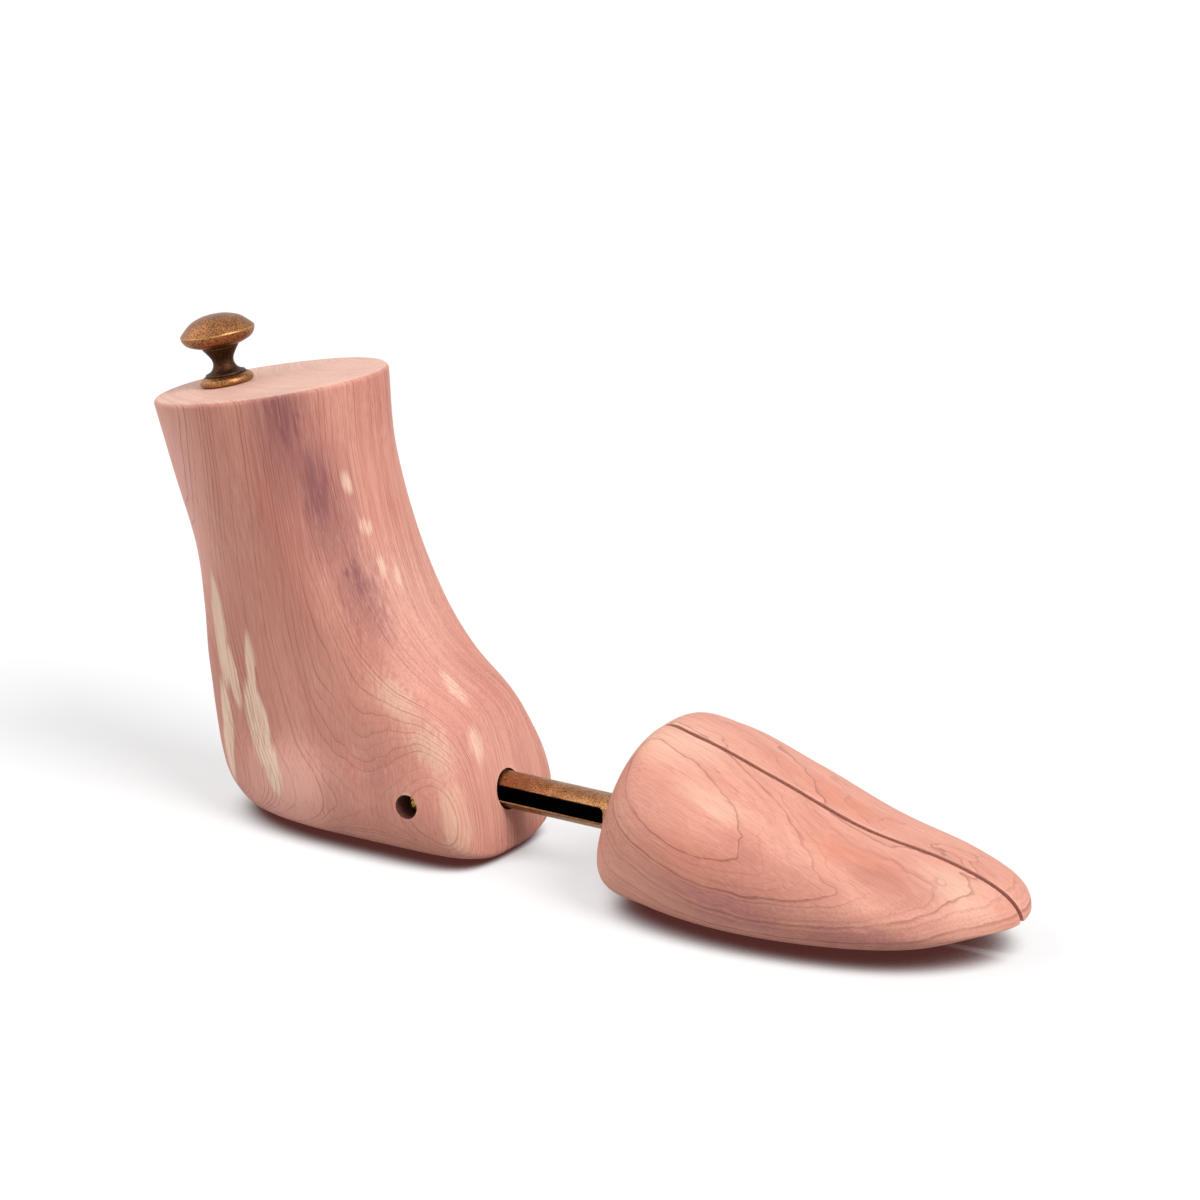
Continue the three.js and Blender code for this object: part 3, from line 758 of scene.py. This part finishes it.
# Walls of the split: sawn wood, a little darker with painted shade
SHADED_SAWN_CEDAR = raw_cedar("shaded_sawn_cedar", linear(214, 138, 116), linear(182, 108, 90))
KNOB_BRASS = antique_brass("knob_brass", linear(80, 48, 30), linear(188, 130, 84), linear(236, 184, 112))
TUBE_BRASS = antique_brass("tube_brass", linear(100, 66, 42), linear(204, 152, 104), linear(228, 168, 112))
TUBE_EDGE = plain_metal("tube_edge", linear(196, 128, 84), linear(236, 176, 122), 0.4, 0.4)
# Near black inside the tube: painted shade
TUBE_INSIDE_SHADE = plain_metal("tube_inside_shade", linear(10, 8, 7), linear(20, 15, 12), 0.7)
STEEL = plain_metal("plain_steel", linear(130, 130, 128), linear(176, 176, 174), 0.28)
ZINC = plain_metal("yellow_zinc", linear(164, 132, 62), linear(226, 196, 112), 0.22)


# Heel block

def heel_ring(place):
    level, back, front, widest, half, square = blend(HEEL_STATIONS, place)
    inset = rounding_inset(TOP_ROUNDING, HEEL_HEIGHT * (1 - level))
    before = quarter_curve(square) * ((front - widest) * HEEL_LENGTH - inset, half * HEEL_WIDTH - inset)
    behind = quarter_curve(HEEL_REAR_SQUARE)[::-1]
    behind = behind * ((back - widest) * HEEL_LENGTH + inset, half * HEEL_WIDTH - inset)
    side = np.concatenate([before, behind[1:]])
    outline = np.concatenate([side, side[-2:0:-1] * (1, -1)])
    x = outline[:, 0] + widest * HEEL_LENGTH
    points = np.stack([x, outline[:, 1], level * top_height(x)], 1)
    return even_points(points, HEEL_COLUMNS, True)


def heel_places():
    """Rows of the heel: close together at its base and round its top edge, even between them."""
    foot = np.linspace(0, HEEL_FOOT_HEIGHT, HEEL_FOOT_ROWS)
    sides = np.arange(HEEL_FOOT_HEIGHT + 1, HEEL_HEIGHT - TOP_ROUNDING - 1, HEEL_ROW_STEP)
    bends = 1 - np.cos(np.linspace(0, math.pi / 2, HEEL_TOP_ROWS))
    rises = np.concatenate([foot, sides, HEEL_HEIGHT - TOP_ROUNDING * bends[::-1]])
    places = np.linspace(0, len(HEEL_STATIONS) - 1, 4000)
    levels = [blend(HEEL_STATIONS[:, 0], place) for place in places]
    return np.interp(rises / HEEL_HEIGHT, levels, places)


def knob_matrix():
    foot = Vector((KNOB_X, 0, top_height(KNOB_X))) * MM
    return Matrix.Translation(foot) @ Matrix.Rotation(-TOP_TILT, 4, "Y")


def heel_block():
    rings = np.stack([heel_ring(place) for place in heel_places()])
    obj = skin("heel", rings, [HEEL_CEDAR])
    front = at_tube(HEEL_FRONT_X + HEEL_WIDTH)
    bore = rod(BORE_RADIUS, at_tube(BORE_END_X), front, SHADED_BORE_CEDAR, BORE_SIDES)
    outside = at_tube(GUIDE_X, -HEEL_WIDTH)
    recess = rod(RECESS_RADIUS, outside, at_tube(GUIDE_X, -RECESS_SEAT), SHADED_BORE_CEDAR)
    pilot = rod(GUIDE_RADIUS + FIT_GAP, outside, at_tube(GUIDE_X), SHADED_BORE_CEDAR)
    depth = KNOB_SCREW_IN_BLOCK + FIT_GAP
    knob_hole = rod(KNOB_SCREW_RADIUS + FIT_GAP, (0, 0, -depth), (0, 0, KNOB_HEIGHT), SHADED_BORE_CEDAR)
    knob_hole.data.transform(knob_matrix())
    cut(obj, [bore, recess, pilot, knob_hole])
    store_edges(obj, HEEL_EDGE)
    finish_piece(obj, "heel", "heel_cedar", "heel_block")


# Knob

def knob_profile():
    """Foot, ring, waist, collar, underside and dome, as (radius, height) from the block's top."""
    flange = KNOB_FLANGE_RADIUS
    neck = KNOB_NECK_RADIUS
    head = KNOB_HEAD_RADIUS
    foot = [(flange - 0.7, FIT_GAP), (flange - 0.15, 0.7), (flange, 1.4), (flange - 0.4, 2.4),
            (flange - 1.5, 3.2)]
    ring = [(flange - 2.2, 3.35), (flange - 2.45, 3.6), (flange - 2.35, 3.9), (flange - 2.6, 4.15),
            (flange - 3.1, 4.25)]
    waist = [(neck + 2.25, 4.4), (neck + 0.95, 5.3), (neck + 0.2, 6.6), (neck, 7.8), (neck + 0.25, 9.1),
             (neck + 1.15, 10.7), (neck + 2.55, 12.7)]
    collar = [(neck + 2.7, 12.85), (neck + 2.75, 13.05), (neck + 2.65, 13.25), (neck + 2.45, 13.35)]
    under = [(head - 6.7, 13.4), (head - 5.1, 13.75), (head - 3.1, 14.5), (head - 1.5, 15.4),
             (head - 0.45, 16.8), (head, 18.2)]
    dome = [(head - 0.05, 18.55), (head - 0.3, 18.95), (head - 0.9, 19.6), (head - 2.3, 21.0),
            (head - 4.7, 22.8), (head - 8.4, 24.1), (head - 11.9, KNOB_HEIGHT - 0.03)]
    profile = [(0, FIT_GAP)]
    for run, steps in [(foot, 5), (ring, 4), (waist, 6), (collar, 3), (under, 6), (dome, 7)]:
        profile += smooth_path(run, steps)
    return profile + [(0, KNOB_HEIGHT)]


def knob():
    obj = lathe("brass_knob", knob_profile(), KNOB_SIDES, [KNOB_BRASS])
    depth = KNOB_SCREW_IN_KNOB + FIT_GAP
    cut(obj, [rod(KNOB_SCREW_RADIUS + FIT_GAP, (0, 0, -1), (0, 0, depth), SHADED_BORE_CEDAR)])
    store_edges(obj, KNOB_EDGE)
    # Painted shade in the neck under the head, with patina, kept as the recess value on each point
    height = point_values(obj, "co")[:, 2] / MM
    low, high = NECK_SHADE_SPAN
    depth_in_neck_shade = np.minimum(height - low, high - height)
    store_value(obj, "recess", np.clip(depth_in_neck_shade / NECK_SHADE_FADE, 0, 1) * NECK_SHADE_DEPTH)
    obj.data.transform(knob_matrix())
    finish_piece(obj, "heel", "antique_brass", "knob")


# Cross-head screw at the bottom of the recess

def guide_screw():
    radius = GUIDE_HEAD_RADIUS
    height = GUIDE_HEAD_HEIGHT
    head = smooth_path([(radius * 0.5, -height), (radius * 0.85, -height * 0.8), (radius, -height * 0.35)], 6)
    straight = GUIDE_LENGTH - 3 * GUIDE_RADIUS
    shank = [(radius, 0), (GUIDE_RADIUS, 0), (GUIDE_RADIUS, straight), (0, GUIDE_LENGTH)]
    obj = lathe("cross_screw", [(0, -height)] + head + shank, ROUND_SIDES, [ZINC])
    arms = []
    for x, y in [(CROSS_REACH, 0), (0, CROSS_REACH)]:
        arms.append(rod(CROSS_ARM_RADIUS, (-x, -y, -height), (x, y, -height), ZINC, CROSS_SIDES))
    middle = rod(CROSS_MIDDLE_RADIUS, (0, 0, -height - 1), (0, 0, -CROSS_MIDDLE_FLOOR), ZINC, CROSS_SIDES)
    cut(obj, arms + [middle])
    turn = Matrix.Rotation(-math.pi / 2, 4, "X") @ Matrix.Rotation(CROSS_TURN, 4, "Z")
    put(obj, at_tube(GUIDE_X, -RECESS_SEAT - FIT_GAP), turn)
    finish_piece(obj, "heel", "yellow_zinc", "guide_screw")


# Tube with its slot

# Turns what was made upright to lie along the tube
ALONG_TUBE = Matrix.Rotation(math.pi / 2, 4, "Y")


def slot_cutter():
    """A rounded slot through the outer wall only."""
    half = SLOT_WIDTH / 2 - SLOT_CORNER
    corners = [(SLOT_FRONT_X - SLOT_CORNER, -half, -math.pi / 2), (SLOT_FRONT_X - SLOT_CORNER, half, 0),
               (SLOT_REAR_X + SLOT_CORNER, half, math.pi / 2), (SLOT_REAR_X + SLOT_CORNER, -half, math.pi)]
    outline = []
    for x, z, start in corners:
        for angle in np.linspace(start, start + math.pi / 2, 8):
            outline.append((x + SLOT_CORNER * math.cos(angle), z + SLOT_CORNER * math.sin(angle)))
    rings = np.array([[(x, y, z + TUBE_HEIGHT) for x, z in outline] for y in (-2 * TUBE_RADIUS, 0)])
    return skin("cutter", rings, [TUBE_EDGE])


def ease_slot_edge(obj):
    """Rounds the slot's outer edge, worn bright."""
    edge_index = obj.data.materials.find(TUBE_EDGE.name)
    shell = bmesh.new()
    shell.from_mesh(obj.data)
    rim = [e for e in shell.edges if {f.material_index for f in e.link_faces} == {0, edge_index}]
    bmesh.ops.bevel(shell, geom=rim, offset=SLOT_EDGE * MM, offset_type="OFFSET", segments=2, profile=0.5,
                    affect="EDGES", material=edge_index, clamp_overlap=True)
    shell.to_mesh(obj.data)
    shell.free()
    obj.data.shade_smooth()
    obj.data.set_sharp_from_angle(angle=TUBE_CRISP_ANGLE)


def tube():
    inner = TUBE_RADIUS - TUBE_WALL
    lip = inner - TUBE_LIP
    length = TUBE_FRONT_X - TUBE_REAR_X
    ease = TUBE_END_EASE
    profile = [(lip, 0), (TUBE_RADIUS - ease, 0), (TUBE_RADIUS, ease), (TUBE_RADIUS, length), (inner, length),
               (inner, TUBE_WALL), (lip, TUBE_WALL)]
    # The inner wall takes the near-black painted shade
    bands = [0, 0, 0, 0, 1, 1, 1]
    obj = lathe("brass_tube", profile, BORE_SIDES, [TUBE_BRASS, TUBE_INSIDE_SHADE], True, bands)
    put(obj, at_tube(TUBE_REAR_X), ALONG_TUBE)
    outside = 2 * TUBE_RADIUS
    hole = rod(TUBE_SCREW_RADIUS + FIT_GAP, at_tube(TUBE_SCREW_X, -outside), at_tube(TUBE_SCREW_X, outside),
               TUBE_INSIDE_SHADE, SMALL_SIDES)
    cut(obj, [slot_cutter(), hole])
    ease_slot_edge(obj)
    finish_piece(obj, "slider", "antique_brass", "tube")


# Split toe

def toe_matrix():
    return Matrix.Translation(Vector(TOE_PIVOT) * MM) @ Matrix.Rotation(TOE_YAW, 4, "Z")


def toe_side(place, sign):
    """Half a section of the whole toe, from the middle of its top round to the middle of its underside."""
    top, under, widest, outer, inner, lean = blend(TOE_STATIONS, place)
    share = place / (len(TOE_STATIONS) - 1)
    middle = TOE_LENGTH * (1 - math.cos(math.pi * share)) / 2 - TOE_PIVOT_REACH
    reach = (outer if sign < 0 else inner) * TOE_WIDTH
    above = quarter_curve(TOE_TOP_SQUARE)[::-1] * (reach, (top - widest) * TOE_HEIGHT)
    below = quarter_curve(TOE_UNDER_SQUARE) * (reach, (under - widest) * TOE_HEIGHT)
    across, rise = np.concatenate([above, below[1:]]).T
    height = np.maximum(0, widest * TOE_HEIGHT + rise)
    return np.stack([middle + lean * rise, across, height], 1)


def toe_ring(place, sign):
    """A section of one half: round the outside, then up the wall of the split, with eased corners."""
    side = toe_side(place, sign)
    wall = KERF_WIDTH / 2
    ease = KERF_ROUNDING
    widest = side[:, 1].argmax()
    ends = []
    for part in (side[:widest + 1], side[widest:][::-1]):
        ends.append([np.interp(wall + ease, part[:, 1], part[:, k]) for k in range(3)])
    outside = np.array([ends[0]] + [p for p in side if p[1] > wall + ease] + [ends[1]])
    outside = even_points(outside, TOE_COLUMNS, False)
    corner = np.linspace(0, math.pi / 2, TOE_CORNER_POINTS)[1:]
    bend = list(zip(wall + ease * (1 - np.sin(corner)), ease * (1 - np.cos(corner))))
    high = [(ends[0][0], across, ends[0][2] - drop) for across, drop in bend]
    low = [(ends[1][0], across, ends[1][2] + drop) for across, drop in bend]
    face = np.linspace(low[-1], high[-1], TOE_WALL_POINTS)[1:-1]
    ring = np.concatenate([outside, low, face, high[::-1]])
    return ring * (1, sign, 1)


def toe_places(sign):
    """Rows of one half, from where it is just wider than the split at the rear to the same at the tip."""
    least = KERF_WIDTH / 2 + 3 * KERF_ROUNDING
    places = np.linspace(0, len(TOE_STATIONS) - 1, 400)
    widths = np.array([toe_side(place, sign)[:, 1].max() for place in places])
    wide = places[widths > least]
    return np.linspace(wide[0], wide[-1], TOE_ROWS)


def cross_holes(sign, pin_hole):
    """Blind holes from the split into one half."""
    sizes = [(place, PIN_RADIUS, pin_hole) for place in PIN_PLACES]
    sizes += [(place, TOE_SPRING_RADIUS, TOE_SPRING_DEPTH) for place in TOE_SPRINGS.values()]
    holes = []
    for (x, z), radius, depth in sizes:
        end = (x, sign * (KERF_WIDTH / 2 + depth), z)
        hole = rod(radius + FIT_GAP, (x, 0, z), end, SHADED_BORE_CEDAR, SMALL_SIDES)
        hole.data.transform(toe_matrix())
        holes.append(hole)
    return holes


def toe_half(name, sign, cutters):
    rings = np.stack([toe_ring(place, sign) for place in toe_places(sign)])
    obj = skin(name, rings, [TOE_CEDAR, SHADED_SAWN_CEDAR])
    # The walls of the split take the sawn cedar, a little darker with painted shade
    for face in obj.data.polygons:
        face.material_index = int(abs(face.center.y) < KERF_WIDTH * 0.505 * MM)
    obj.data.transform(toe_matrix())
    cut(obj, cutters)
    store_edges(obj, TOE_EDGE)
    return obj


def toe():
    start = at_tube(HEEL_FRONT_X)
    middle = at_tube(TUBE_SCREW_X)
    socket = rod(TUBE_RADIUS + FIT_GAP, start, at_tube(TUBE_FRONT_X + FIT_GAP), SHADED_BORE_CEDAR, BORE_SIDES)
    deep = at_tube(TUBE_SCREW_X, -TUBE_SCREW_DEPTH - FIT_GAP)
    pilot = rod(TUBE_SCREW_RADIUS + FIT_GAP, deep, middle, SHADED_BORE_CEDAR, SMALL_SIDES)
    outer = toe_half("toe_outer", -1, [socket, pilot] + cross_holes(-1, PIN_DEPTH + FIT_GAP))
    finish_piece(outer, "slider", "toe_cedar", "toe_half_outer")
    channel_end = at_tube(TUBE_FRONT_X + CLOSING_ROOM)
    channel = rod(TUBE_RADIUS + CLOSING_ROOM, start, channel_end, SHADED_BORE_CEDAR, BORE_SIDES)
    head_end = at_tube(TUBE_SCREW_X, TUBE_SCREW_HEAD_END)
    head_room = rod(TUBE_SCREW_HEAD_ROOM, middle, head_end, SHADED_BORE_CEDAR, SMALL_SIDES)
    inner = toe_half("toe_inner", 1, [channel, head_room] + cross_holes(1, PIN_DEPTH + CLOSING_ROOM))
    finish_piece(inner, "inner_toe", "toe_cedar", "toe_half_inner")


# Springs

def main_spring():
    rear = BORE_END_X + FIT_GAP
    length = TUBE_REAR_X - FIT_GAP - rear
    obj = coil("long_spring", MAIN_SPRING_RADIUS, MAIN_SPRING_WIRE, MAIN_SPRING_TURNS, length, STEEL)
    put(obj, at_tube(rear), ALONG_TUBE)
    finish_piece(obj, "heel", "plain_steel", "main_spring")
    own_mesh(obj)


def toe_springs():
    length = KERF_WIDTH + 2 * TOE_SPRING_DEPTH - 2 * FIT_GAP
    for node, (x, z) in TOE_SPRINGS.items():
        obj = coil(node + "_wire", TOE_SPRING_RADIUS, TOE_SPRING_WIRE, TOE_SPRING_TURNS, length, STEEL)
        foot = Vector((x, -length / 2, z))
        put(obj, foot, Matrix.Rotation(-math.pi / 2, 4, "X"))
        obj.data.transform(toe_matrix())
        finish_piece(obj, "slider", "plain_steel", node)
        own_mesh(obj)


def hidden_fasteners():
    """Pins and screws inside the wood keep their solids and take a steel finish."""
    for node in ("toe_pin_rear", "toe_pin_front", "tube_screw", "knob_screw"):
        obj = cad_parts[node]
        obj.data.materials.clear()
        obj.data.materials.append(STEEL)


# Studio

CAMERA_AZIMUTH = math.radians(32.66)
CAMERA_ELEVATION = math.radians(18.405)
CAMERA_TARGET = (88.05, 0.0, 97.68)
CAMERA_DISTANCE = 1735.7
CAMERA_LENS = 156.0
CAMERA_SENSOR = 36.0
VIEW_LIMIT = 50000.0

# Each lamp: where its light comes from, its strength and its width in degrees
KEY_FROM = (0.68, -0.15, 0.72)
KEY_LEVEL = 2.76
KEY_WIDTH = 30
FILL_FROM = (-0.85, -0.42, 0.5)
FILL_LEVEL = 1.15
FILL_WIDTH = 70
WORLD_LEVEL = 0.34

# Floor: its half width, the grey that lights the object, the share of its own glow, and its dark contact
# shadow, which starts and ends at two shares of open sky within a reach
FLOOR_HALF = 6000.0
FLOOR_GREY = (0.42, 0.42, 0.42, 1)
FLOOR_GLOW = 0.6
WHITE = (1, 1, 1, 1)
CONTACT_COLOUR = linear(98, 54, 50)
CONTACT_REACH = 24.0
CONTACT_DARK = 0.14
CONTACT_CLEAR = 0.6
CONTACT_SAMPLES = 24


def seen_directly(tree):
    """1 for rays from the camera and for mirror and glass rays, else 0."""
    path = add_node(tree, "ShaderNodeLightPath", {})
    total = maths(tree, "MAXIMUM", path.outputs["Is Camera Ray"], path.outputs["Is Glossy Ray"])
    return maths(tree, "MAXIMUM", total, path.outputs["Is Transmission Ray"])


def white_world():
    world = bpy.data.worlds.new("studio")
    bpy.context.scene.world = world
    world.use_nodes = True
    tree = world.node_tree
    tree.nodes.clear()
    level = ranged(tree, seen_directly(tree), 0.0, 1.0, WORLD_LEVEL, 1.0)
    back = add_node(tree, "ShaderNodeBackground", {"Color": WHITE, "Strength": level})
    output = add_node(tree, "ShaderNodeOutputWorld", {})
    tree.links.new(back.outputs[0], output.inputs["Surface"])


def floor_material():
    """White to the camera, partly by its own glow to keep shadows pale, and dark close under the wood."""
    material = bpy.data.materials.new("studio_floor")
    material.use_nodes = True
    tree = material.node_tree
    tree.nodes.clear()
    reach = {"Distance": CONTACT_REACH * MM}
    near = add_node(tree, "ShaderNodeAmbientOcclusion", reach, samples=CONTACT_SAMPLES)
    clear = ranged(tree, near.outputs["AO"], CONTACT_DARK, CONTACT_CLEAR)
    seen = mixed(tree, clear, CONTACT_COLOUR, WHITE)
    direct = seen_directly(tree)
    shade = mixed(tree, direct, FLOOR_GREY, seen)
    plain = add_node(tree, "ShaderNodeBsdfDiffuse", {"Color": shade}).outputs[0]
    glow = add_node(tree, "ShaderNodeEmission", {"Color": seen}).outputs[0]
    share = maths(tree, "MULTIPLY", direct, FLOOR_GLOW)
    both = add_node(tree, "ShaderNodeMixShader", {0: share, 1: plain, 2: glow}).outputs[0]
    output = add_node(tree, "ShaderNodeOutputMaterial", {})
    tree.links.new(both, output.inputs["Surface"])
    return material


def floor():
    half = FLOOR_HALF
    points = [(-half, -half, 0), (half, -half, 0), (half, half, 0), (-half, half, 0)]
    obj = new_object("floor", points, [[0, 1, 2, 3]], [floor_material()])


def sun(name, towards, strength, width):
    """A soft lamp far away, in the given direction from the object."""
    lamp = bpy.data.lights.new(name, "SUN")
    lamp.energy = strength
    lamp.angle = math.radians(width)
    obj = bpy.data.objects.new(name, lamp)
    obj.rotation_mode = "QUATERNION"
    obj.rotation_quaternion = Vector(towards).to_track_quat("Z", "Y")
    bpy.context.scene.collection.objects.link(obj)


def camera():
    data = bpy.data.cameras.new("camera")
    data.lens = CAMERA_LENS
    data.sensor_width = CAMERA_SENSOR
    data.clip_end = VIEW_LIMIT * MM
    obj = bpy.data.objects.new("camera", data)
    back = Vector((math.sin(CAMERA_AZIMUTH), -math.cos(CAMERA_AZIMUTH), math.tan(CAMERA_ELEVATION)))
    back.normalize()
    obj.location = (Vector(CAMERA_TARGET) + back * CAMERA_DISTANCE) * MM
    obj.rotation_mode = "QUATERNION"
    obj.rotation_quaternion = (-back).to_track_quat("-Z", "Y")
    bpy.context.scene.collection.objects.link(obj)
    bpy.context.scene.camera = obj


def studio():
    bpy.context.scene.view_settings.view_transform = "Standard"
    white_world()
    floor()
    sun("key", KEY_FROM, KEY_LEVEL, KEY_WIDTH)
    sun("fill", FILL_FROM, FILL_LEVEL, FILL_WIDTH)
    camera()


heel_block()
knob()
guide_screw()
tube()
toe()
main_spring()
toe_springs()
hidden_fasteners()
studio()
